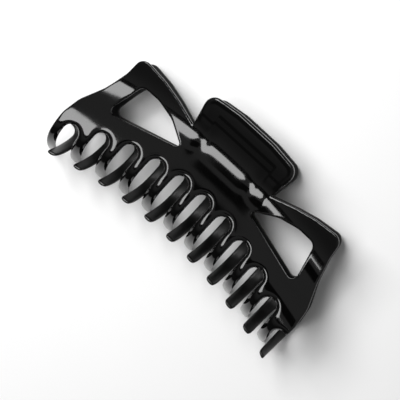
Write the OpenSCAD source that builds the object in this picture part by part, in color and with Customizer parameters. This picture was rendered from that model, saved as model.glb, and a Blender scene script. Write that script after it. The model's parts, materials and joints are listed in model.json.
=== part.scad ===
// Large jaw hair clip: two identical arched jaws on one hidden hinge pin, closed by a torsion spring.
// X runs along the clip, +Y points from the teeth to the finger levers, +Z is up.
// The clip lies on its rear jaw. The origin is the centre of its footprint, on the surface it lies on.

/* [Clip] */
// Length of a jaw, end to end
jaw_length = 128; // [124:1:132]
// Number of teeth on each jaw
teeth = 11; // [9:2:13]
// Distance from the closing plane to the fullest part of a jaw
jaw_depth = 12.5; // [12:0.5:13.5]
// Wall thickness of a jaw
wall = 2.4; // [2:0.1:2.6]

/* [Teeth] */
// Width of a tooth where it leaves the jaw
tooth_root = 4.6; // [4:0.1:4.8]
// Width of a tooth at its tip
tooth_tip = 4; // [3:0.1:4.2]
// Distance from the hinge axis down to the tips of the middle teeth
tooth_reach = 38; // [36:0.5:39]
// How far a tip crosses the closing plane
tooth_cross = 10; // [7:0.5:10.5]
// Wall thickness at a tooth's tip
tip_wall = 1.7; // [1.5:0.1:2]

/* [Levers] */
// Height of a lever above the hinge axis
lever_height = 19.5; // [18:0.5:21]
// Width of a lever at its foot
lever_foot = 41.5; // [40:0.5:43]
// Width of a lever near its top
lever_top = 48; // [46:0.5:50]

/* [Hinge] */
// Diameter of the hinge pin
pin_d = 2; // [1.8:0.1:2.2]
// Radial clearance of the pin in its knuckles
pin_gap = 0.06; // [0.03:0.01:0.1]
// Wire diameter of the spring
wire_d = 1.2; // [1:0.1:1.3]
// Number of turns in the spring's coil
spring_turns = 6; // [4:1:7]

/* [Hidden] */

half = jaw_length / 2;
pitch = (jaw_length + 2) / teeth;

// Arch of the jaws, seen from the front: the hinge line bends down to both ends on this radius.
arch_r = 255;
sweep_half_angle = 19;
arch_sides = 180;
// Arch of the line that joins the tops of the gaps between the teeth
gap_arch_r = 112;
gap_top_y = -14.6;

// Height of the closing plane above the surface, and the place of the hinge axis
close_z = jaw_depth;
end_tip_x = half - pitch / 4;
tip_r = arch_r - tooth_reach;
end_drop = tip_r - sqrt(tip_r * tip_r - end_tip_x * end_tip_x);
tip_extra = 0.6;
hinge_y = (tooth_reach + end_drop + tip_extra - lever_height) / 2;

// Section of a jaw as [distance from the closing plane, height over the hinge axis]
waist_q = 6;
waist_y = 0;
rim_rise = 0.7;
lever_q = jaw_depth - rim_rise;
belly_y = -23;
lever_curve = [[lever_q, lever_height], [10, 12], [waist_q, 6.5], [waist_q, waist_y]];
body_curve = [[waist_q, waist_y], [waist_q, -8], [jaw_depth, -15], [jaw_depth, belly_y]];
tooth_curve = [[jaw_depth, belly_y], [jaw_depth, -31.5], [3.5, -35.2], [-tooth_cross, -tooth_reach]];
curve_steps = [6, 7, 9];

// Raised details start at this depth in the wall, so that they are one with it.
root_depth = 1;
// The flat outlines are cut through the jaw over this span of Z in the jaw's frame.
cut_from = -20;
cut_height = 60;

// Knuckles: two on each jaw, the outer one of the front jaw at -X, with webs up to the jaw's inner face
knuckle_r = 2.9;
knuckle_w = 4;
knuckle_play = 0.4;
knuckle_out = 17.5;
knuckle_in = knuckle_out - 2 * knuckle_w - knuckle_play;
web_w = 5.2;
web_z = 5;
bore_length = 60;
round_sides = 48;
pin_head_d = 3.4;
pin_head_t = 0.8;
head_play = 0.1;

// Spring: middle radius of the coil, pitch of its turns, and the end of the front leg as [q, y]
coil_r = 2.7;
coil_pitch = 1.45;
leg_end = [4, 10];
wire_sides = 8;
turn_steps = 24;

clip_black = "#17181a";
steel = "#8f9296";
eps = 0.01;

// A point on a cubic Bezier curve, and the curve's direction there
function bez(p, t) =
    pow(1 - t, 3) * p[0] + 3 * t * pow(1 - t, 2) * p[1] + 3 * t * t * (1 - t) * p[2] + pow(t, 3) * p[3];
function bez_dir(p, t) =
    3 * pow(1 - t, 2) * (p[1] - p[0]) + 6 * t * (1 - t) * (p[2] - p[1]) + 3 * t * t * (p[3] - p[2]);
function unit(v) = v / norm(v);
// The outward normal of a curve that runs from the lever down to the tooth
function outward(p, t) = let (d = unit(bez_dir(p, t))) [-d[1], d[0]];
function shifted(p, t, depth) = bez(p, t) + depth * outward(p, t);
function reversed(list) = [for (i = [len(list) - 1 : -1 : 0]) list[i]];
function arc(c, r, a0, a1, n) = [for (i = [0 : n]) c + r * [cos(a0 + (a1 - a0) * i / n), sin(a0 + (a1 - a0) * i / n)]];

// A rounded corner: an arc of radius r tangent to the two sides that meet at b
function corner(a, b, c, r, n = 5) =
    let (u = unit(a - b), w = unit(c - b), m = unit(u + w))
    let (s = norm(cross([u[0], u[1], 0], [w[0], w[1], 0])), k = sqrt((1 - u * w) / 2))
    let (centre = b + m * r / k)
    let (pa = b + u * (u * (centre - b)), pc = b + w * (w * (centre - b)))
    let (aa = atan2(pa[1] - centre[1], pa[0] - centre[0]), ac = atan2(pc[1] - centre[1], pc[0] - centre[0]))
    let (turn = ac - aa, sweep = turn > 180 ? turn - 360 : (turn < -180 ? turn + 360 : turn))
    s < eps ? [b] : arc(centre, r, aa, aa + sweep, n);
// A polygon given as [x, y, corner radius] points, with its corners rounded
function rounded(p) = [
    for (i = [0 : len(p) - 1])
        let (n = len(p), a = p[(i + n - 1) % n], b = p[i], c = p[(i + 1) % n])
        each b[2] == 0
            ? [[b[0], b[1]]]
            : corner([a[0], a[1]], [b[0], b[1]], [c[0], c[1]], b[2])
];
function mirrored(p) = [for (q = reversed(p)) [-q[0], q[1], q[2]]];

// Wall left at a place on the section: it thins along the tooth, from depth to the tip's wall.
function wall_at(piece, t, depth) = piece < 2 ? depth : depth + (tip_wall - wall) * t;
// A line that runs at a depth under the section's outer surface, from the lever's top to the tooth's tip
function section_line(depth) = [
    for (piece = [0 : 2])
        let (p = [lever_curve, body_curve, tooth_curve][piece], n = curve_steps[piece])
        for (i = [(piece == 0 ? 0 : 1) : n]) shifted(p, i / n, depth > 0 ? -wall_at(piece, i / n, depth) : 0)
];
// The same along the lever only. A negative depth lies outside the surface.
function upper_line(depth) = [for (i = [0 : curve_steps[0]]) shifted(lever_curve, i / curve_steps[0], -depth)];

// Turns a [q, y] section into a band that follows the jaw's arch.
module arched(points) {
    translate([0, -arch_r, 0])
        rotate([0, 0, 90 - sweep_half_angle])
            rotate_extrude(angle = 2 * sweep_half_angle, $fn = arch_sides)
                polygon([for (p = points) [arch_r + p[1], p[0]]]);
}

// Round end of the section at a tooth's tip
function tip_round() =
    let (a = bez(tooth_curve, 1), b = shifted(tooth_curve, 1, -tip_wall), c = (a + b) / 2)
    let (start = atan2(a[1] - c[1], a[0] - c[0]))
    [for (i = [1 : 3]) c + tip_wall / 2 * [cos(start - 45 * i), sin(start - 45 * i)]];

module jaw_wall() {
    arched(concat(section_line(0), tip_round(), reversed(section_line(wall))));
}

// One side of the front outline: half width of the jaw at a height, from the wing tip down
end_outline = [
    [20.6, 2.6, 0.6], [32, 6.2, 6], [41, 8.3, 8], [54.4, 9.8, 4.2], [55.6, 0, 12], [58.6, -10.5, 14],
    [62.9, -20.5, 12], [64, -28.5, 8], [62.6, -52, 0]
];

module lever_shape(inset = 0) {
    f = lever_foot / 2 - inset;
    t = lever_top / 2 - inset;
    h = lever_height - inset;
    r = 4.8 - inset;
    polygon(rounded([
        [-f, -2 + inset, 0], [f, -2 + inset, 0], [t, h - 1.9, r], [9, h, 14], [-9, h, 14], [-t, h - 1.9, r]
    ]));
}

module body_shape() {
    s = half / 64;
    scaled = [for (p = end_outline) [p[0] * s, p[1], p[2]]];
    polygon(rounded(concat(scaled, mirrored(scaled))));
    lever_shape();
}

// A see-through window in a wing, its point towards the hinge
module window_shape() {
    polygon(rounded([
        [18.2, -7.8, 1.2], [29.5, -1.6, 9], [38.5, 0.5, 12], [47.2, 0.3, 3.2], [51.6, -17.2, 2.4]
    ]));
}

// The gap to the right of a tooth, widening to the tips
module gap_shape(x) {
    root_r = (pitch - tooth_root) / 2;
    end_w = (pitch - tooth_tip) / 2;
    top = gap_top_y + sqrt(gap_arch_r * gap_arch_r - x * x) - gap_arch_r;
    foot = -tooth_reach - end_drop - wall;
    polygon(concat(
        arc([x, top - root_r], root_r, 0, 180, 10),
        [[x - end_w, foot], [x + end_w, foot]]
    ));
}

module front_shape() {
    difference() {
        body_shape();
        window_shape();
        mirror([1, 0]) window_shape();
        for (i = [1 : teeth]) gap_shape((i - (teeth + 1) / 2 + 0.25) * pitch);
    }
}

// Rolled rim round a lever's outer face, open at its foot, and the flat pad between its two ribs
module lever_rim() {
    rim_w = 2.3;
    open_h = 3;
    intersection() {
        arched(concat(upper_line(-rim_rise), reversed(upper_line(root_depth))));
        linear_extrude(height = cut_height)
            difference() {
                lever_shape();
                lever_shape(rim_w);
                translate([rim_w - lever_foot / 2, -open_h])
                    square([lever_foot - 2 * rim_w, 2 * open_h]);
            }
    }
}

module lever_pad() {
    pad_w = 30;
    pad_h = 8;
    pad_from = 0.2;
    pad_rise = 0.45;
    intersection() {
        arched(concat(upper_line(-pad_rise), reversed(upper_line(root_depth))));
        translate([-pad_w / 2, pad_from, 0]) cube([pad_w, pad_h, cut_height]);
    }
}

// A hinge knuckle with its web, from x0 towards +X
module knuckle(x0) {
    translate([x0, 0, 0]) {
        rotate([0, 90, 0]) cylinder(r = knuckle_r, h = knuckle_w, $fn = round_sides);
        translate([0, -web_w / 2, 0]) cube([knuckle_w, web_w, web_z]);
    }
}

// One jaw in its own frame: hinge axis along X through the origin, outer face towards +Z
module jaw() {
    difference() {
        union() {
            intersection() {
                jaw_wall();
                translate([0, 0, cut_from]) linear_extrude(height = cut_height) front_shape();
            }
            lever_rim();
            lever_pad();
            knuckle(-knuckle_out);
            knuckle(knuckle_in);
        }
        translate([-bore_length / 2, 0, 0])
            rotate([0, 90, 0]) cylinder(r = pin_d / 2 + pin_gap, h = bore_length, $fn = round_sides);
    }
}

module at_hinge() {
    translate([0, hinge_y, close_z]) children();
}

module front_jaw() {
    color(clip_black) at_hinge() jaw();
}

module rear_jaw() {
    color(clip_black) at_hinge() rotate([0, 180, 0]) jaw();
}

module hinge_pin() {
    color(steel) at_hinge() rotate([0, 90, 0]) {
        span = knuckle_out + head_play;
        translate([0, 0, -span - eps]) cylinder(d = pin_d, h = 2 * span + 2 * eps, $fn = round_sides);
        for (end = [-span - pin_head_t, span])
            translate([0, 0, end]) cylinder(d = pin_head_d, h = pin_head_t, $fn = round_sides);
    }
}

// The spring's legs run up along the inner faces of the levers, from a tangent of the coil.
leg_dist = norm(leg_end);
leg_angle = atan2(leg_end[0], leg_end[1]) + acos(coil_r / leg_dist);
coil_half = spring_turns * coil_pitch / 2;
function coil_point(x, a) = [x, coil_r * cos(a), coil_r * sin(a)];
function spring_path() =
    let (sweep = 360 * spring_turns - 2 * leg_angle + 360, n = ceil(sweep / 360 * turn_steps))
    concat(
        [[-coil_half, leg_end[1], -leg_end[0]]],
        [for (i = [0 : n]) coil_point(-coil_half + 2 * coil_half * i / n, -leg_angle - sweep * i / n)],
        [[coil_half, leg_end[1], leg_end[0]]]
    );

// Sweeps a round wire along points that lie round the X axis.
module wire(path, d, sides) {
    n = len(path);
    rings = [
        for (i = [0 : n - 1])
            let (t = unit(path[min(i + 1, n - 1)] - path[max(i - 1, 0)]))
            let (side = unit(cross(t, cross([1, 0, 0], t))), up = cross(t, side))
            for (k = [0 : sides - 1]) path[i] + d / 2 * (cos(360 * k / sides) * side + sin(360 * k / sides) * up)
    ];
    faces = concat(
        [[for (k = [sides - 1 : -1 : 0]) k]],
        [for (i = [0 : n - 2], k = [0 : sides - 1])
            let (a = i * sides + k, b = i * sides + (k + 1) % sides) [a, b, b + sides, a + sides]],
        [[for (k = [0 : sides - 1]) (n - 1) * sides + k]]
    );
    polyhedron(rings, faces);
}

module torsion_spring() {
    color(steel) at_hinge() wire(spring_path(), wire_d, wire_sides);
}

front_jaw();
rear_jaw();
hinge_pin();
torsion_spring();
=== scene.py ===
"""Large jaw hair clip lying on a pale table: two glossy black jaws, their hinge pin and torsion spring."""

from __future__ import annotations

import json
import logging
import math
from dataclasses import dataclass, field
from enum import Enum
from typing import ClassVar, Sequence

import bpy
import numpy as np
from mathutils import Matrix, Vector


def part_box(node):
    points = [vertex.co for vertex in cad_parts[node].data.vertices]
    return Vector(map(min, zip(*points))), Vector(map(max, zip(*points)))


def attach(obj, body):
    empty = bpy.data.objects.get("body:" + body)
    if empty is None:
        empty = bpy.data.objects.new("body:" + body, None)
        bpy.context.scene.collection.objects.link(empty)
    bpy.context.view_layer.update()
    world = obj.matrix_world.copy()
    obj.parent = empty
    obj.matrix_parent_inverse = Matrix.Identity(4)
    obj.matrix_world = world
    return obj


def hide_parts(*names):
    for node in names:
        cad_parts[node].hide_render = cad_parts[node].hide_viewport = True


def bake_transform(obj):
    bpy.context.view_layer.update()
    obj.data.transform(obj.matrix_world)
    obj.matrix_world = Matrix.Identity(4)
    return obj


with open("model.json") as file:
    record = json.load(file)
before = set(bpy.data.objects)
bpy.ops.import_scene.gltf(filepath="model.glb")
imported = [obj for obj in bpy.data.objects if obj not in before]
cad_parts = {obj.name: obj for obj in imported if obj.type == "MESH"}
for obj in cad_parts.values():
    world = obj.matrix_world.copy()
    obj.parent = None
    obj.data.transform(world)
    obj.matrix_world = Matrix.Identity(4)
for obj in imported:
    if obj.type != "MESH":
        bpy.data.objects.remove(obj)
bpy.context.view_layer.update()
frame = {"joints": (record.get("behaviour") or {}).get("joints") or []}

LOG = logging.getLogger("jaw_clip")
MM = 0.001
# Further off than any place on the clip, in millimetres
FAR = 1e6
# Depth in millimetres given to a grid point that is filled in
FILLED = 0.02

Point = tuple[float, float]
Corner = tuple[float, float, float]
Curve = tuple[Point, Point, Point, Point]


# ---------------------------------------------------------------- shape tools


def smooth_max(a: np.ndarray, b: np.ndarray, blend: float) -> np.ndarray:
    """The larger of two distances, with the crease between them rounded.

    Args:
        a: First distance.
        b: Second distance.
        blend: Width of the rounding.

    Returns:
        The joined distance.
    """
    share = np.maximum(blend - np.abs(a - b), 0.0) / blend
    return np.maximum(a, b) + share * share * blend * 0.25


def smooth_min(a: np.ndarray, b: np.ndarray, blend: float) -> np.ndarray:
    """The smaller of two distances, with the crease between them filled."""
    return -smooth_max(-a, -b, blend)


def ease(value: np.ndarray, low: float, high: float) -> np.ndarray:
    """Rises smoothly from 0 at low to 1 at high."""
    t = np.clip((value - low) / (high - low), 0.0, 1.0)
    return t * t * (3.0 - 2.0 * t)


def bezier(curve: Curve, count: int) -> np.ndarray:
    """Points along a cubic Bezier curve.

    Args:
        curve: Its four control points.
        count: Number of steps.

    Returns:
        An array of count + 1 points.
    """
    t = np.linspace(0.0, 1.0, count + 1)[:, None]
    a, b, c, d = (np.array(p) for p in curve)
    return (1 - t) ** 3 * a + 3 * t * (1 - t) ** 2 * b + 3 * t * t * (1 - t) * c + t**3 * d


def bezier_normal(curve: Curve, count: int) -> np.ndarray:
    """Outward unit normals along a curve that runs down the section."""
    t = np.linspace(0.0, 1.0, count + 1)[:, None]
    a, b, c, d = (np.array(p) for p in curve)
    run = 3 * (1 - t) ** 2 * (b - a) + 6 * t * (1 - t) * (c - b) + 3 * t * t * (d - c)
    run /= np.linalg.norm(run, axis=1)[:, None]
    return np.stack([-run[:, 1], run[:, 0]], axis=1)


def rounded_ring(corners: Sequence[Corner], steps: int = 10) -> np.ndarray:
    """A closed outline with its corners rounded.

    Args:
        corners: Corner points, each with the radius of its rounding.
        steps: Points along each rounding.

    Returns:
        The outline's points.
    """
    ring: list[np.ndarray] = []
    for i, (x, y, radius) in enumerate(corners):
        here = np.array([x, y])
        if radius == 0:
            ring.append(here)
            continue
        to_last = np.array(corners[i - 1][:2]) - here
        to_next = np.array(corners[(i + 1) % len(corners)][:2]) - here
        to_last /= np.linalg.norm(to_last)
        to_next /= np.linalg.norm(to_next)
        middle = to_last + to_next
        middle /= np.linalg.norm(middle)
        sine = math.sqrt((1 - float(to_last @ to_next)) / 2)
        centre = here + middle * radius / sine
        first = here + to_last * float(to_last @ (centre - here)) - centre
        last = here + to_next * float(to_next @ (centre - here)) - centre
        start = math.atan2(first[1], first[0])
        turn = (math.atan2(last[1], last[0]) - start + math.pi) % (2 * math.pi) - math.pi
        for k in range(steps + 1):
            angle = start + turn * k / steps
            ring.append(centre + radius * np.array([math.cos(angle), math.sin(angle)]))
    return np.array(ring)


def mirrored(corners: Sequence[Corner]) -> list[Corner]:
    """The same corners on the other side of the middle line, in reverse order."""
    return [(-x, y, radius) for x, y, radius in reversed(corners)]


@dataclass
class Chart:
    """A length that depends on two others, kept on a square grid and read smoothly between its points."""

    low: Point
    high: Point
    step: float
    values: np.ndarray = field(init=False)

    def mesh(self) -> tuple[np.ndarray, np.ndarray]:
        """The two coordinates of every grid point."""
        axes = [np.arange(a, b + self.step, self.step) for a, b in zip(self.low, self.high)]
        first, second = np.meshgrid(*axes, indexing="ij")
        return first.astype(np.float32), second.astype(np.float32)

    def at(self, first: np.ndarray, second: np.ndarray) -> np.ndarray:
        """The value at any places.

        Args:
            first: First coordinates.
            second: Second coordinates.

        Returns:
            The values there, held at the edge value outside the chart.
        """
        rows, columns = self.values.shape
        a = np.clip((first - self.low[0]) / self.step, 0, rows - 1.001)
        b = np.clip((second - self.low[1]) / self.step, 0, columns - 1.001)
        i, j = a.astype(np.int32), b.astype(np.int32)
        a, b = a - i, b - j
        v = self.values
        lower = v[i, j] * (1 - b) + v[i, j + 1] * b
        upper = v[i + 1, j] * (1 - b) + v[i + 1, j + 1] * b
        return lower * (1 - a) + upper * a


def outline_chart(ring: np.ndarray, low: Point, high: Point, step: float) -> Chart:
    """Charts the signed distance to a closed outline, negative inside.

    Args:
        ring: The outline's points.
        low: Lowest corner of the chart.
        high: Highest corner of the chart.
        step: Spacing of its points.

    Returns:
        The chart.
    """
    chart = Chart(low, high, step)
    px, py = chart.mesh()
    best = np.full(px.shape, FAR, np.float32)
    inside = np.zeros(px.shape, bool)
    for (ax, ay), (bx, by) in zip(ring, np.roll(ring, -1, axis=0)):
        ex, ey = bx - ax, by - ay
        wx, wy = px - ax, py - ay
        t = np.clip((wx * ex + wy * ey) / (ex * ex + ey * ey), 0, 1)
        best = np.minimum(best, (wx - ex * t) ** 2 + (wy - ey * t) ** 2)
        if ay != by:
            between = (py >= min(ay, by)) & (py < max(ay, by))
            inside ^= between & (wx < wy * (ex / ey))
    chart.values = np.where(inside, -1, 1) * np.sqrt(best)
    return chart


# ---------------------------------------------------------------- meshes


def without_pinches(values: np.ndarray) -> np.ndarray:
    """Fills in the few grid points where the region would touch itself along an edge only.

    Args:
        values: Distances at the grid's points.

    Returns:
        The distances, a little inside at the filled points.
    """
    values = values.copy()
    found = True
    while found:
        found = False
        for axis in range(3):
            layers = np.moveaxis(values, axis, 0)
            inside = layers < 0
            a, b = inside[:, :-1, :-1], inside[:, 1:, :-1]
            c, d = inside[:, 1:, 1:], inside[:, :-1, 1:]
            for n, i, j in np.argwhere((a == c) & (b == d) & (a != b)):
                ring = [(n, i, j), (n, i + 1, j), (n, i + 1, j + 1), (n, i, j + 1)]
                outside = [point for point in ring if layers[point] >= 0]
                if len(outside) == 2:
                    layers[min(outside, key=lambda point: layers[point])] = -FILLED
                    found = True
    return values


def net_of(values: np.ndarray, low: np.ndarray, step: float) -> tuple[np.ndarray, np.ndarray]:
    """Wraps the region where a gridded distance is negative in quads.

    Args:
        values: Distances at the grid's points.
        low: The grid's lowest corner.
        step: Spacing of the grid.

    Returns:
        Points and quads, with the quads facing outwards.
    """
    values = without_pinches(values)
    inside = values < 0
    shape = np.array(values.shape)
    corners = [(i, j, k) for i in (0, 1) for j in (0, 1) for k in (0, 1)]
    count = np.zeros(shape - 1, np.int8)
    for i, j, k in corners:
        count += inside[i : shape[0] - 1 + i, j : shape[1] - 1 + j, k : shape[2] - 1 + k]
    cells = np.argwhere((count > 0) & (count < 8))
    index = np.full(shape - 1, -1, np.int64)
    index[tuple(cells.T)] = np.arange(len(cells))
    total, hits = np.zeros((len(cells), 3)), np.zeros(len(cells))
    for a in corners:
        for axis in range(3):
            if a[axis]:
                continue
            b = tuple(a[n] + (n == axis) for n in range(3))
            va = values[tuple((cells + a).T)].astype(float)
            vb = values[tuple((cells + b).T)].astype(float)
            cut = (va < 0) != (vb < 0)
            t = np.where(cut, va / np.where(cut, va - vb, 1.0), 0.0)
            place = np.array(a, float)[None, :] + t[:, None] * np.eye(3)[axis]
            total += np.where(cut[:, None], place, 0.0)
            hits += cut
    points = low + (cells + total / hits[:, None]) * step
    quads = []
    for axis in range(3):
        u, v = (axis + 1) % 3, (axis + 2) % 3
        here = [slice(1, -1)] * 3
        here[axis] = slice(0, -1)
        there = list(here)
        there[axis] = slice(1, None)
        first, second = inside[tuple(here)], inside[tuple(there)]
        edges = np.argwhere(first != second)
        outward = first[tuple(edges.T)]
        edges = edges + 1
        edges[:, axis] -= 1
        ring = []
        for du, dv in ((0, 0), (1, 0), (1, 1), (0, 1)):
            cell = edges.copy()
            cell[:, u] -= 1 - du
            cell[:, v] -= 1 - dv
            ring.append(index[tuple(cell.T)])
        quad = np.stack(ring, axis=1)
        quads.append(np.where(outward[:, None], quad, quad[:, ::-1]))
    return points, np.concatenate(quads)


def build_mesh(name: str, points: np.ndarray, faces: np.ndarray | list) -> bpy.types.Object:
    """Makes a smooth-shaded piece from points and faces.

    Args:
        name: Name of the piece.
        points: Points in metres, in the row frame.
        faces: Quads as an array, or faces of any size as lists.

    Returns:
        The piece, linked to the scene.
    """
    mesh = bpy.data.meshes.new(name)
    if isinstance(faces, np.ndarray):
        mesh.vertices.add(len(points))
        mesh.vertices.foreach_set("co", points.astype(np.float32).ravel())
        mesh.loops.add(faces.size)
        mesh.loops.foreach_set("vertex_index", faces.astype(np.int32).ravel())
        mesh.polygons.add(len(faces))
        mesh.polygons.foreach_set("loop_start", np.arange(0, faces.size, 4, dtype=np.int32))
        mesh.update(calc_edges=True)
    else:
        mesh.from_pydata([tuple(p) for p in points], [], faces)
    mesh.polygons.foreach_set("use_smooth", np.ones(len(mesh.polygons), bool))
    mesh.validate()
    mesh.update()
    piece = bpy.data.objects.new(name, mesh)
    bpy.context.scene.collection.objects.link(piece)
    LOG.info("%s: %d points, %d faces", name, len(mesh.vertices), len(mesh.polygons))
    return piece


def tube_faces(rings: int, sides: int) -> list[list[int]]:
    """Faces of a closed tube made of rings of points, with a flat cap at each end."""
    faces = [[*range(sides - 1, -1, -1)], [*range((rings - 1) * sides, rings * sides)]]
    for i in range(rings - 1):
        for k in range(sides):
            a, b = i * sides + k, i * sides + (k + 1) % sides
            faces.append([a, b, b + sides, a + sides])
    return faces


# ---------------------------------------------------------------- shader tools


@dataclass
class Wire:
    """A shader socket's value, which Python's operators can work with."""

    sheet: "Sheet"
    socket: bpy.types.NodeSocket

    def _math(self, operation: str, first: object, second: object) -> "Wire":
        """Adds a Math node."""
        return self.sheet.node("ShaderNodeMath", {"operation": operation}, {0: first, 1: second})

    def __add__(self, other: object) -> "Wire":
        """This plus another value."""
        return self._math("ADD", self, other)

    def __sub__(self, other: object) -> "Wire":
        """This minus another value."""
        return self._math("SUBTRACT", self, other)

    def __rsub__(self, other: object) -> "Wire":
        """Another value minus this."""
        return self._math("SUBTRACT", other, self)

    def __mul__(self, other: object) -> "Wire":
        """This times another value."""
        return self._math("MULTIPLY", self, other)

    __radd__ = __add__
    __rmul__ = __mul__


@dataclass
class Sheet:
    """A node tree, filled in from Python."""

    tree: bpy.types.NodeTree

    def __post_init__(self) -> None:
        """Empties the tree."""
        self.tree.nodes.clear()

    def node(
        self,
        kind: str,
        settings: dict[str, object] | None = None,
        inputs: dict[str | int, object] | None = None,
        output: str | int = 0,
    ) -> Wire:
        """Adds one node.

        Args:
            kind: The node's type.
            settings: Properties of the node, and "stops" for a ramp as (place, value) pairs.
            inputs: Values or wires for its sockets, by name or number.
            output: The socket that is handed back.

        Returns:
            The chosen output.
        """
        made = self.tree.nodes.new(kind)
        for key, value in (settings or {}).items():
            if key == "stops":
                self._set_stops(made, value)
            else:
                setattr(made, key, value)
        for key, value in (inputs or {}).items():
            if isinstance(value, Wire):
                self.tree.links.new(value.socket, made.inputs[key])
            else:
                made.inputs[key].default_value = value
        return Wire(self, made.outputs[output])

    def _set_stops(self, ramp: bpy.types.Node, stops: Sequence[Point]) -> None:
        """Sets a ramp's stops to greys."""
        elements = ramp.color_ramp.elements
        while len(elements) < len(stops):
            elements.new(1.0)
        for element, (place, value) in zip(elements, stops):
            element.position = place
            element.color = (value, value, value, 1.0)

    def place(self, stretch: tuple[float, float, float] = (1.0, 1.0, 1.0)) -> Wire:
        """The place on the piece in metres, stretched along each axis."""
        where = self.node("ShaderNodeTexCoord", output="Object")
        settings = {"operation": "MULTIPLY"}
        return self.node("ShaderNodeVectorMath", settings, {0: where, 1: stretch})

    def noise(self, where: Wire, per_metre: float, detail: float = 3.0, rough: float = 0.5) -> Wire:
        """Cloudy noise with values round a half."""
        sockets = {"Vector": where, "Scale": per_metre, "Detail": detail, "Roughness": rough}
        return self.node("ShaderNodeTexNoise", None, sockets, "Fac")

    def ramp(self, value: Wire, stops: Sequence[Point]) -> Wire:
        """Turns a value into another along straight lines between stops."""
        return self.node("ShaderNodeValToRGB", {"stops": stops}, {"Fac": value})

    def mix(self, share: Wire, first: object, second: object) -> Wire:
        """Mixes two colours."""
        settings = {"data_type": "RGBA"}
        return self.node("ShaderNodeMix", settings, {0: share, 6: first, 7: second}, 2)

    def bump(self, height: Wire, distance: float, strength: float = 1.0) -> Wire:
        """A bumped normal from a height in units of distance."""
        sockets = {"Height": height, "Distance": distance, "Strength": strength}
        return self.node("ShaderNodeBump", None, sockets)

    def end(self, shader: Wire, kind: str = "ShaderNodeOutputMaterial") -> None:
        """Joins a shader to the tree's output."""
        self.tree.links.new(shader.socket, self.tree.nodes.new(kind).inputs["Surface"])


@dataclass
class Finish(Sheet):
    """The node tree of a new material."""

    material: bpy.types.Material

    @classmethod
    def named(cls, name: str) -> "Finish":
        """Makes a material of that name and opens its tree."""
        material = bpy.data.materials.new(name)
        material.use_nodes = True
        return cls(material.node_tree, material)

    def shade(self, inputs: dict[str, object]) -> bpy.types.Material:
        """Ends the tree in a Principled shader and hands back the material."""
        self.end(self.node("ShaderNodeBsdfPrincipled", None, inputs))
        return self.material


def colour(grey: float, warmth: float = 0.0) -> tuple[float, float, float, float]:
    """A grey colour, a little warmer or cooler."""
    return (grey * (1 + warmth), grey, grey * (1 - warmth), 1.0)


@dataclass(frozen=True)
class BlackPlastic:
    """Polished injection-moulded black plastic: flow clouds, fine handling marks and a faint ripple."""

    dark: float = 0.0006
    light: float = 0.0016
    roughness: float = 0.085
    dulled: float = 0.17
    inner_roughness: float = 0.42
    refraction: float = 1.55

    def make(self) -> bpy.types.Material:
        """Builds the material."""
        sheet = Finish.named("black_plastic")
        where = sheet.place()
        flow = sheet.noise(sheet.place((0.35, 1.0, 1.0)), per_metre=70.0, detail=4.0, rough=0.55)
        tone = sheet.mix(flow, colour(self.dark, -0.05), colour(self.light, 0.03))
        touched = sheet.noise(where, per_metre=55.0, detail=5.0, rough=0.6)
        handling = sheet.ramp(touched, [(0.42, 0.0), (0.72, 1.0)])
        hairlines = sheet.node(
            "ShaderNodeTexNoise",
            None,
            {"Vector": sheet.place((1.0, 7.0, 7.0)), "Scale": 420.0, "Detail": 2.0, "Distortion": 0.6},
            "Fac",
        )
        marks = sheet.ramp(hairlines, [(0.60, 0.0), (0.70, 1.0)])
        polished = self.roughness + (self.dulled - self.roughness) * (handling * 0.5 + marks * 0.28)
        inside = sheet.node("ShaderNodeAttribute", {"attribute_name": Jaw.inside_layer}, output="Fac")
        rough = polished + (self.inner_roughness - polished) * inside
        ripple = sheet.noise(where, per_metre=95.0, detail=1.0, rough=0.4)
        grain = sheet.noise(where, per_metre=2600.0, detail=2.0, rough=0.5)
        normal = sheet.bump(ripple * 0.9 + grain * 0.02, distance=0.00006, strength=0.6)
        return sheet.shade(
            {"Base Color": tone, "Roughness": rough, "Normal": normal, "IOR": self.refraction}
        )


@dataclass(frozen=True)
class DrawnSteel:
    """Steel drawn through a die: streaks along its length, and a little oil staining."""

    name: str = "pin_steel"
    dark: float = 0.30
    light: float = 0.56
    roughness: float = 0.24
    streaks: tuple[float, float, float] = (0.04, 1.0, 1.0)

    def make(self) -> bpy.types.Material:
        """Builds the material."""
        sheet = Finish.named(self.name)
        streak = sheet.noise(sheet.place(self.streaks), per_metre=5200.0, detail=3.0, rough=0.6)
        stain = sheet.noise(sheet.place(), per_metre=420.0, detail=3.0, rough=0.5)
        share = streak * 0.6 + stain * 0.4
        tone = sheet.mix(share, colour(self.dark, 0.04), colour(self.light, 0.01))
        rough = self.roughness + 0.2 * stain + 0.08 * streak
        normal = sheet.bump(streak, distance=0.00002, strength=0.5)
        return sheet.shade({"Base Color": tone, "Metallic": 1.0, "Roughness": rough, "Normal": normal})


@dataclass(frozen=True)
class TableTop:
    """Pale matt table with a faint mottle."""

    dark: float = 0.76
    light: float = 0.80
    roughness: float = 0.6

    def make(self) -> bpy.types.Material:
        """Builds the material."""
        sheet = Finish.named("table_top")
        cloud = sheet.noise(sheet.place(), per_metre=14.0, detail=4.0, rough=0.5)
        fibre = sheet.noise(sheet.place(), per_metre=1500.0, detail=2.0, rough=0.5)
        tone = sheet.mix(cloud * 0.7 + fibre * 0.3, colour(self.dark), colour(self.light))
        normal = sheet.bump(fibre, distance=0.00003, strength=0.4)
        rough = self.roughness + 0.06 * fibre
        return sheet.shade({"Base Color": tone, "Roughness": rough, "Normal": normal})


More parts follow.
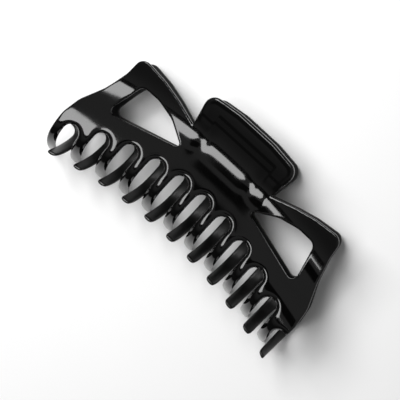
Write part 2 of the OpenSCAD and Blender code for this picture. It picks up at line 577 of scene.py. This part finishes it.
@dataclass(frozen=True)
class BlackCloth:
    """Matt black cloth of the flags."""

    dark: float = 0.001
    light: float = 0.004

    def make(self) -> bpy.types.Material:
        """Builds the material."""
        sheet = Finish.named("black_cloth")
        weave = sheet.noise(sheet.place(), per_metre=900.0, detail=2.0, rough=0.5)
        tone = sheet.mix(weave, colour(self.dark), colour(self.light))
        return sheet.shade({"Base Color": tone, "Roughness": 0.9, "Specular IOR Level": 0.0})


# ---------------------------------------------------------------- the clip


class Side(Enum):
    """The two jaws of the clip: the rear one lies on the table."""

    FRONT = "front"
    REAR = "rear"


@dataclass
class Section:
    """A jaw's section as [q, y] curves down its outer surface, charted against rise and q.

    q is the distance out from the closing plane, and rise the height over the hinge line's arch.
    """

    lever: Curve
    body: Curve
    tooth: Curve
    wall: float = 2.4
    tip_wall: float = 1.7
    steps: int = 64
    low: Point = (-43.0, -13.5)
    high: Point = (22.0, 15.5)
    step: float = 0.125

    def __post_init__(self) -> None:
        """Charts the distance to the wall's middle surface."""
        middle, half = [], []
        for curve in (self.lever, self.body, self.tooth):
            share = np.linspace(0, 1, self.steps + 1) if curve is self.tooth else np.zeros(self.steps + 1)
            depth = (self.wall + (self.tip_wall - self.wall) * share) / 2
            line = bezier(curve, self.steps) - bezier_normal(curve, self.steps) * depth[:, None]
            keep = slice(1 if middle else 0, None)
            middle.append(line[keep])
            half.append(depth[keep])
        line, depth = np.concatenate(middle), np.concatenate(half)
        runs = np.linalg.norm(np.diff(line, axis=0), axis=1)
        along = np.concatenate([[0.0], np.cumsum(runs)])
        self.length = float(along[-1])
        self._chart(line, depth, along)

    def _chart(self, line: np.ndarray, depth: np.ndarray, along: np.ndarray) -> None:
        """Fills the charts.

        Args:
            line: Points [q, y] of the wall's middle line.
            depth: Half the wall at each point.
            along: Length of the line up to each point.
        """
        self.near, self.out, self.run, self.half = (Chart(self.low, self.high, self.step) for _ in range(4))
        rise, q = self.near.mesh()
        best = np.full(rise.shape, FAR, np.float32)
        out, run, half = (np.zeros(rise.shape, np.float32) for _ in range(3))
        for n in range(len(line) - 1):
            (aq, ay), (bq, by) = line[n], line[n + 1]
            eq, ey = bq - aq, by - ay
            wq, wy = q - aq, rise - ay
            square = eq * eq + ey * ey
            t = np.clip((wq * eq + wy * ey) / square, 0, 1)
            gap = (wq - eq * t) ** 2 + (wy - ey * t) ** 2
            closer = gap < best
            best = np.where(closer, gap, best)
            side = (wy * eq - wq * ey) / math.sqrt(square)
            out = np.where(closer, side, out)
            run = np.where(closer, along[n] + t * (along[n + 1] - along[n]), run)
            half = np.where(closer, depth[n] + t * (depth[n + 1] - depth[n]), half)
        self.near.values, self.out.values = np.sqrt(best), out
        self.run.values, self.half.values = run, half


@dataclass
class Jaw:
    """One moulded jaw, in millimetres: wall, finger lever, wings with windows, teeth and knuckles.

    In its own frame the hinge axis is X, y points to the lever, and q is the distance out from the
    closing plane.
    """

    inside_layer: ClassVar[str] = "inside"

    length: float
    hinge: Vector
    teeth: int = 11
    arch_r: float = 255.0
    tooth_root: float = 5.0
    tooth_tip: float = 4.75
    gap_arch_r: float = 112.0
    gap_top: float = -14.6
    gap_foot: float = -49.2
    bevel: float = 0.95
    bevel_tip_cut: float = 0.55
    bevel_from: float = 0.3
    bevel_power: float = 1.15
    bevel_tip_power: float = 0.9
    tip_span: Point = (16.0, 4.0)
    outer_span: Point = (0.35, 0.9)
    inside_span: Point = (0.1, 0.6)
    foot: float = 37.95
    tip_corner: float = 2.25
    tip_reach: float = 0.75
    tip_zone: float = -2.0
    pillow: float = 0.26
    pillow_w: float = 1.9
    inner_pillow: float = 0.3
    edge: float = 0.75
    tip_edge: float = 0.3
    wing_fillet: float = 0.5
    knuckle_fillet: float = 0.7
    knuckle_edge: float = 0.35
    lever_foot: float = 41.5
    lever_top: float = 48.0
    lever_height: float = 19.5
    rim_w: float = 2.3
    rim_rise: float = 0.35
    rim_foot: Point = (5.0, 9.0)
    panel_half: float = 15.2
    panel_top: Point = (12.1, 13.4)
    border_foot: Point = (3.0, 7.0)
    step_heights: Point = (9.7, 8.8)
    border_rise: float = 0.22
    step_rise: float = 0.2
    knuckle_r: float = 2.9
    knuckle_w: float = 4.0
    knuckles: tuple[float, float] = (-15.5, 11.1)
    sinks: tuple[Corner, ...] = ((-13.6, 2.6, 0.42), (12.4, 2.6, 0.42), (20.6, 1.0, 0.15))
    sink_y: float = 1.0
    sink_height: float = 5.0
    web_half: float = 2.6
    web_reach: float = 2.6
    bore_r: float = 1.06
    bore_half: float = 22.0
    grid: float = 0.42
    grid_low: Point = (-49.5, -13.0)
    grid_top: float = 14.5
    settle_rounds: int = 3
    chart_low: Point = (-67.0, -54.0)
    chart_high: Point = (67.0, 23.0)
    chart_step: float = 0.15
    base_length: float = 128.0
    wing: tuple[Corner, ...] = (
        (20.6, 2.6, 0.6),
        (32, 6.2, 6),
        (41, 8.3, 8),
        (54.4, 9.8, 4.2),
        (55.6, 0, 12),
        (58.6, -10.5, 14),
        (62.9, -20.5, 12),
        (64, -28.5, 8),
        (62.6, -52, 0),
    )
    window: tuple[Corner, ...] = (
        (18.2, -7.8, 1.2),
        (29.5, -1.6, 9),
        (38.5, 0.5, 12),
        (47.2, 0.3, 3.2),
        (51.6, -17.2, 2.4),
    )
    section: Section = field(
        default_factory=lambda: Section(
            lever=((11.8, 19.5), (10.0, 12.0), (6.0, 6.5), (6.0, 0.0)),
            body=((6.0, 0.0), (6.0, -8.0), (12.5, -15.0), (12.5, -23.0)),
            tooth=((12.5, -23.0), (12.5, -31.5), (3.5, -35.2), (-10.0, -38.0)),
        )
    )

    def __post_init__(self) -> None:
        """Charts the flat outlines that the jaw is cut to."""
        self.pitch = (self.length + 2) / self.teeth
        span = (self.chart_low, self.chart_high, self.chart_step)
        size = self.length / self.base_length
        wing = [(x * size, y, r) for x, y, r in self.wing]
        foot, top, h = self.lever_foot / 2, self.lever_top / 2, self.lever_height
        lever = [(foot, -2, 0), (top, h - 1.9, 4.8), (9, h, 14)]
        self.wing_edge = outline_chart(rounded_ring(wing + mirrored(wing)), *span)
        self.lever_edge = outline_chart(rounded_ring(lever + mirrored(lever)), *span)
        self.window_edge = outline_chart(rounded_ring(self.window), *span)

    def gap(self, x: np.ndarray, y: np.ndarray) -> np.ndarray:
        """Distance to the nearest gap between teeth, negative inside it.

        Args:
            x: Places along the clip.
            y: Heights over the hinge axis.

        Returns:
            The distances.
        """
        root_r = (self.pitch - self.tooth_root) / 2
        tip_half = (self.pitch - self.tooth_tip) / 2
        first = (1.25 - (self.teeth + 1) / 2) * self.pitch
        left = np.floor((x - first) / self.pitch)
        best = np.full(np.shape(x), FAR, np.float32)
        for number in (left, left + 1):
            centre = first + np.clip(number, 0, self.teeth - 1) * self.pitch
            springing = self.gap_top + np.sqrt(self.gap_arch_r**2 - centre**2) - self.gap_arch_r - root_r
            down = np.clip((springing - y) / (springing - self.gap_foot), 0, 1)
            straight = np.abs(x - centre) - root_r - (tip_half - root_r) * down
            arched = np.hypot(x - centre, y - springing) - root_r
            best = np.minimum(best, np.where(y < springing, straight, arched))
        return best

    def relief(self, x: np.ndarray, y: np.ndarray) -> np.ndarray:
        """How far the outer surface stands proud: lever rim, finger panel and sink marks.

        Args:
            x: Places along the clip.
            y: Heights over the hinge axis.

        Returns:
            The rise over the plain surface.
        """
        edge = self.lever_edge.at(x, y)
        crest = ease(-edge, 0.1, 1.0) * (1 - ease(-edge, self.rim_w - 1.1, self.rim_w + 0.6))
        rim = crest * ease(y, *self.rim_foot)
        across = np.abs(x)
        panel = 1 - ease(across, self.panel_half - 0.5, self.panel_half + 0.5)
        panel = panel * (1 - ease(y, *self.panel_top))
        border = (1 - panel) * ease(y, *self.border_foot) * self.border_rise
        step_y = np.where(across < self.panel_half, *self.step_heights)
        step = ease(y, step_y - 0.55, step_y + 0.35) * self.step_rise
        raised = (rim * self.rim_rise + border + step) * ease(-edge, -0.6, 0.3)
        sinks = np.zeros_like(across)
        for centre, width, depth in self.sinks:
            off_x, off_y = (x - centre) / width, (y - self.sink_y) / self.sink_height
            sinks = sinks + np.exp(-(off_x**2) - off_y**2) * depth
        return raised - sinks

    def distance(self, x: np.ndarray, y: np.ndarray, q: np.ndarray) -> np.ndarray:
        """Distance to the jaw's surface, negative inside the plastic.

        Args:
            x: Places along the clip.
            y: Heights over the hinge axis.
            q: Distances out from the closing plane.

        Returns:
            The distances.
        """
        part = self.section
        rise = np.hypot(x, self.arch_r + y) - self.arch_r
        out, run, half = part.out.at(rise, q), part.run.at(rise, q), part.half.at(rise, q)
        through = np.clip(out / half * 0.5 + 0.5, 0, 1)
        gap = self.gap(x, y)
        pillow = np.clip(1 - (gap - self.bevel) / self.pillow_w, 0, 1) ** 2 * self.pillow
        inner = np.clip(1 - gap / self.pillow_w, 0, 1) ** 2 * self.inner_pillow
        outer_share = ease(through, *self.outer_span)
        change = (self.relief(x, y) - pillow) * outer_share - inner * (1 - outer_share)
        shell = part.near.at(rise, q) - half - change
        to_tip = ease(run, part.length - self.tip_span[0], part.length - self.tip_span[1])
        outward = np.clip((through - self.bevel_from) / (1 - self.bevel_from), 0, 1)
        slope = (self.bevel - self.bevel_tip_cut * to_tip) * outward ** (
            self.bevel_power + self.bevel_tip_power * to_tip
        )
        shell = smooth_max(shell, slope - gap, self.edge)
        shell = smooth_max(shell, -self.window_edge.at(x, y), self.edge)
        shell = smooth_max(shell, -self.window_edge.at(-x, y), self.edge)
        wing = smooth_min(self.wing_edge.at(x, y), self.lever_edge.at(x, y), self.wing_fillet)
        shell = smooth_max(shell, wing, self.edge)
        shell = smooth_max(shell, self.tip_corners(x, run, rise), self.tip_edge)
        radius = np.hypot(y, q)
        web = np.maximum(np.abs(y) - self.web_half, np.abs(q - self.web_reach) - self.web_reach)
        knuckle = smooth_min(radius - self.knuckle_r, web, self.wing_fillet)
        width = np.full(np.shape(x), FAR, np.float32)
        for centre in self.knuckles:
            width = np.minimum(width, np.abs(x - centre) - self.knuckle_w / 2)
        knuckle = smooth_max(knuckle, width, self.knuckle_edge)
        shell = smooth_min(shell, knuckle, self.knuckle_fillet)
        bore = np.where(np.abs(x) < self.bore_half, self.bore_r - radius, -FAR)
        return np.maximum(shell, bore)

    def tip_corners(self, x: np.ndarray, run: np.ndarray, rise: np.ndarray) -> np.ndarray:
        """Distance to the rounded ends of the teeth, seen along them and from the front.

        Args:
            x: Places along the clip.
            run: Distance down the section from the lever's top.
            rise: Heights over the hinge line's arch.

        Returns:
            The distances.
        """
        corner = self.tip_corner
        first = (1 - (self.teeth + 1) / 2 - 0.25) * self.pitch
        number = np.clip(np.round((x - first) / self.pitch), 0, self.teeth - 1)
        across = np.abs(x - first - number * self.pitch) - (self.tooth_root / 2 - corner)
        down = run - (self.section.length + self.tip_reach - corner)
        low = -rise - (self.foot - corner)
        past = np.maximum(down, low)
        round_end = np.hypot(np.maximum(across, 0), np.maximum(past, 0)) - corner
        return np.where(past > self.tip_zone, round_end, self.tip_zone)

    def inside(self, points: np.ndarray) -> np.ndarray:
        """How far points lie toward the hollow side of the wall, from 0 to 1.

        Args:
            points: Points of the jaw's own frame in millimetres.

        Returns:
            The shares.
        """
        x, y, q = points.T
        rise = np.hypot(x, self.arch_r + y) - self.arch_r
        through = self.section.out.at(rise, q) / self.section.half.at(rise, q) * 0.5 + 0.5
        return 1 - ease(through, *self.inside_span)

    def surface(self) -> tuple[np.ndarray, np.ndarray]:
        """Wraps the jaw in quads, and settles their corners on its true surface.

        Returns:
            Points in the jaw's own frame in millimetres, and quads.
        """
        low = np.array([-self.length / 2 - 1.0, *self.grid_low])
        high = np.array([self.length / 2 + 1.0, self.lever_height + 1.0, self.grid_top])
        axes = [np.arange(a, b, self.grid) for a, b in zip(low, high)]
        values = np.empty([len(a) for a in axes], np.float32)
        flat_y, flat_q = np.meshgrid(axes[1], axes[2], indexing="ij")
        for i, x in enumerate(axes[0]):
            values[i] = self.distance(np.full_like(flat_y, x), flat_y, flat_q)
        points, quads = net_of(values, low, self.grid)
        for _ in range(self.settle_rounds):
            points = self.settle(points)
        return points, quads

    def settle(self, points: np.ndarray) -> np.ndarray:
        """Moves points along the slope of the distance onto the surface.

        Args:
            points: Points near the surface.

        Returns:
            The moved points.
        """
        nudge = 0.06
        here = self.distance(*points.T)
        slope = np.stack(
            [
                self.distance(*(points + nudge * axis).T) - self.distance(*(points - nudge * axis).T)
                for axis in np.eye(3)
            ],
            axis=1,
        ) / (2 * nudge)
        square = np.maximum((slope**2).sum(axis=1), 0.25)
        move = -slope * (here / square)[:, None]
        limit = self.grid * 0.6
        size = np.linalg.norm(move, axis=1)
        move *= np.minimum(1.0, limit / np.maximum(size, 1e-9))[:, None]
        return points + move

    def placed(self, points: np.ndarray, side: Side) -> np.ndarray:
        """Puts points of the jaw's own frame into the row frame.

        Args:
            points: Points in millimetres.
            side: Which jaw they are for. The rear jaw is the same moulding, turned half round.

        Returns:
            Points in metres.
        """
        turn = np.array([1.0, 1.0, 1.0]) if side is Side.FRONT else np.array([-1.0, 1.0, -1.0])
        return points * turn * MM + np.array(self.hinge)

    def build(self, finish: bpy.types.Material) -> None:
        """Builds both jaws from one moulding.

        Args:
            finish: The plastic they are made of.
        """
        points, quads = self.surface()
        inside = self.inside(points).astype(np.float32)
        for side in Side:
            name = f"{side.value}_jaw"
            piece = build_mesh(f"{name}_shell", self.placed(points, side), quads)
            layer = piece.data.attributes.new(self.inside_layer, "FLOAT", "POINT")
            layer.data.foreach_set("value", inside)
            piece.data.materials.append(finish)
            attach(piece, name)
            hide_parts(name)


@dataclass
class HingePin:
    """Steel pin with an upset, domed head at each end, in millimetres."""

    hinge: Vector
    radius: float = 1.0
    half: float = 17.6
    head_r: float = 1.7
    head_t: float = 0.8
    sides: int = 40

    def profile(self) -> list[Point]:
        """Radius and place along the axis, from one end to the other.

        Returns:
            [radius, x] pairs.
        """
        end = self.half + self.head_t
        dome = [
            (0.35, end),
            (1.1, end - 0.06),
            (1.5, end - 0.22),
            (self.head_r, end - 0.5),
            (self.head_r, end - 0.68),
            (1.58, self.half + 0.01),
            (1.12, self.half + 0.01),
            (self.radius, self.half - 0.1),
        ]
        shaft = [(self.radius, x) for x in np.linspace(self.half - 1.0, -self.half + 1.0, 24)]
        return [(r, -x) for r, x in dome] + shaft[::-1] + dome[::-1]

    def build(self, finish: bpy.types.Material) -> None:
        """Builds the pin.

        Args:
            finish: Its steel.
        """
        profile = self.profile()
        turns = [2 * math.pi * k / self.sides for k in range(self.sides)]
        points = [(x, r * math.cos(a), r * math.sin(a)) for r, x in profile for a in turns]
        faces = tube_faces(len(profile), self.sides)
        piece = build_mesh("hinge_pin_rod", np.array(points) * MM + np.array(self.hinge), faces)
        piece.data.materials.append(finish)
        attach(piece, "rear_jaw")
        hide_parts("hinge_pin")


@dataclass
class TorsionSpring:
    """Coil round the pin with a leg on each lever, in millimetres."""

    hinge: Vector
    wire_r: float = 0.6
    coil_r: float = 2.7
    turns: int = 6
    coil_pitch: float = 1.45
    leg_end: Point = (4.0, 10.0)
    sides: int = 14
    turn_steps: int = 40
    leg_steps: int = 10

    def path(self) -> np.ndarray:
        """Centreline of the wire.

        Returns:
            Points from the rear leg's end to the front leg's end.
        """
        out, up = self.leg_end
        leg = math.atan2(out, up) + math.acos(self.coil_r / math.hypot(out, up))
        half = self.turns * self.coil_pitch / 2
        sweep = 2 * math.pi * (self.turns + 1) - 2 * leg
        count = int(sweep / (2 * math.pi) * self.turn_steps)
        angle = -leg - sweep * np.linspace(0, 1, count + 1)
        x = np.linspace(-half, half, count + 1)
        coil = np.stack([x, self.coil_r * np.cos(angle), self.coil_r * np.sin(angle)], axis=1)
        share = np.linspace(0, 1, self.leg_steps + 1)[:-1, None]
        first = np.array([-half, up, -out]) * (1 - share) + coil[0] * share
        last = np.array([half, up, out]) * (1 - share) + coil[-1] * share
        return np.concatenate([first, coil, last[::-1]])

    def build(self, finish: bpy.types.Material) -> None:
        """Builds the spring, with a leg reaching along each lever.

        Args:
            finish: Its wire.
        """
        path = self.path()
        run = np.gradient(path, axis=0)
        run /= np.linalg.norm(run, axis=1)[:, None]
        side = np.cross(run, np.cross([1.0, 0.0, 0.0], run))
        side /= np.linalg.norm(side, axis=1)[:, None]
        up = np.cross(run, side)
        caps = [(0, -1, 0.45), (0, -0.7, 0.82), *((n, 0, 1.0) for n in range(len(path)))]
        caps += [(-1, 0.7, 0.82), (-1, 1, 0.45)]
        points = []
        for n, shift, size in caps:
            centre = path[n] + run[n] * shift * self.wire_r * 0.5
            for k in range(self.sides):
                a = 2 * math.pi * k / self.sides
                ring = math.cos(a) * side[n] + math.sin(a) * up[n]
                points.append(centre + ring * self.wire_r * size)
        faces = tube_faces(len(caps), self.sides)
        piece = build_mesh("torsion_spring_wire", np.array(points) * MM + np.array(self.hinge), faces)
        piece.data.materials.append(finish)
        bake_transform(piece)
        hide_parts("torsion_spring")


# ---------------------------------------------------------------- the studio


@dataclass(frozen=True)
class Softbox:
    """A soft rectangular lamp over the clip, leant about Y. One that isn't mirrored only lights."""

    name: str = "softbox"
    place: tuple[float, float, float] = (-0.218, 0.042, 0.62)
    size: Point = (0.215, 0.56)
    turn: float = 42.1
    power: float = 2.75
    lean: float = 0.0
    mirrored: bool = True

    def build(self) -> None:
        """Hangs the lamp."""
        light = bpy.data.lights.new(self.name, "AREA")
        light.shape = "RECTANGLE"
        light.size, light.size_y = self.size
        light.energy = self.power
        lamp = bpy.data.objects.new(self.name, light)
        lamp.location = self.place
        lamp.rotation_euler = (0.0, math.radians(self.lean), math.radians(self.turn))
        lamp.visible_glossy = self.mirrored
        bpy.context.scene.collection.objects.link(lamp)


@dataclass(frozen=True)
class Flag:
    """A black card over the clip that only reflections see."""

    name: str
    place: tuple[float, float, float]
    size: Point

    def build(self, finish: bpy.types.Material) -> None:
        """Hangs the card.

        Args:
            finish: Its black cloth.
        """
        x, y, z = self.place
        a, b = self.size[0] / 2, self.size[1] / 2
        corners = [(x - a, y - b, z), (x - a, y + b, z), (x + a, y + b, z), (x + a, y - b, z)]
        card = build_mesh(self.name, np.array(corners), [[0, 1, 2, 3]])
        card.data.materials.append(finish)
        for sight in ("camera", "diffuse", "transmission", "volume_scatter", "shadow"):
            setattr(card, f"visible_{sight}", False)


@dataclass
class Studio:
    """Pale table, soft lamps and the camera over the clip."""

    hinge: Vector
    azimuth: float = 6.2
    elevation: float = 6.6
    roll: float = 42.1
    away: float = 0.6
    focal: float = 132.4
    sensor: float = 36.0
    target: tuple[float, float, float] = (0.0005, -0.0185, 0.0)
    table_half: float = 3.0
    bright_way: tuple[float, float, float] = (0.08, 0.42, 0.9)
    sky: tuple[Point, ...] = ((0.15, 0.04), (0.5, 0.2), (0.95, 0.26), (1.0, 0.27))
    lamps: tuple[Softbox, ...] = (
        Softbox(),
        Softbox("side_lamp", (-0.44, 0.09, 0.50), (0.34, 0.40), 0.0, 4.15, -41.0, False),
    )
    flags: tuple[Flag, ...] = (
        Flag("beam_flag", (-0.065, 0.415, 0.60), (0.13, 0.14)),
        Flag("camera_flag", (0.0325, 0.14, 0.60), (0.235, 0.19)),
        Flag("front_flag", (-0.06, -0.225, 0.60), (0.36, 0.115)),
    )

    def build_table(self, finish: bpy.types.Material) -> None:
        """Lays the table under the clip.

        Args:
            finish: Its top.
        """
        s = self.table_half
        points = np.array([(-s, -s, 0), (s, -s, 0), (s, s, 0), (-s, s, 0)], float)
        table = build_mesh("table", points, [[0, 1, 2, 3]])
        table.data.materials.append(finish)

    def build_light(self, cloth: bpy.types.Material) -> None:
        """Hangs the lamps and the flags, and sets the room's light, brightest overhead and towards +Y.

        Args:
            cloth: Finish of the flags.
        """
        for lamp in self.lamps:
            lamp.build()
        for flag in self.flags:
            flag.build(cloth)
        world = bpy.data.worlds.new("room")
        world.use_nodes = True
        sheet = Sheet(world.node_tree)
        way = sheet.node("ShaderNodeTexCoord", output="Generated")
        settings = {"operation": "DOT_PRODUCT"}
        toward = sheet.node("ShaderNodeVectorMath", settings, {0: way, 1: self.bright_way}, "Value")
        light = sheet.ramp(toward, self.sky)
        back = sheet.node("ShaderNodeBackground", None, {"Color": light})
        sheet.end(back, "ShaderNodeOutputWorld")
        bpy.context.scene.world = world

    def build_camera(self) -> None:
        """Sets the camera over the clip, turned as a hand-held one would be."""
        az, el, roll = (math.radians(a) for a in (self.azimuth, self.elevation, self.roll))
        back = Vector((math.sin(az) * math.cos(el), math.sin(el), math.cos(az) * math.cos(el)))
        level = (-back).cross(Vector((0, 1, 0))).normalized()
        upright = level.cross(-back)
        across = math.cos(roll) * level + math.sin(roll) * upright
        upward = -math.sin(roll) * level + math.cos(roll) * upright
        spot = self.hinge + Vector(self.target) + back * self.away
        lens = bpy.data.cameras.new("camera")
        lens.lens, lens.sensor_width = self.focal, self.sensor
        lens.clip_start = 0.05
        camera = bpy.data.objects.new("camera", lens)
        camera.matrix_world = Matrix(
            [(across[n], upward[n], back[n], spot[n]) for n in range(3)] + [(0, 0, 0, 1)]
        )
        bpy.context.scene.collection.objects.link(camera)
        bpy.context.scene.camera = camera


def main() -> None:
    """Builds the clip and the studio round it."""
    logging.basicConfig(level=logging.INFO, format="%(name)s: %(message)s")
    hinge = Vector(frame["joints"][0]["pos_m"])
    low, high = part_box("front_jaw")
    jaw = Jaw(length=round((high.x - low.x) / MM, 2), hinge=hinge)
    jaw.build(BlackPlastic().make())
    HingePin(hinge).build(DrawnSteel().make())
    TorsionSpring(hinge).build(DrawnSteel("spring_steel", 0.22, 0.42, 0.28, (1.0, 1.0, 1.0)).make())
    studio = Studio(hinge)
    studio.build_table(TableTop().make())
    studio.build_light(BlackCloth().make())
    studio.build_camera()
    bpy.context.scene.view_settings.view_transform = "Standard"


if __name__ == "__main__":
    main()
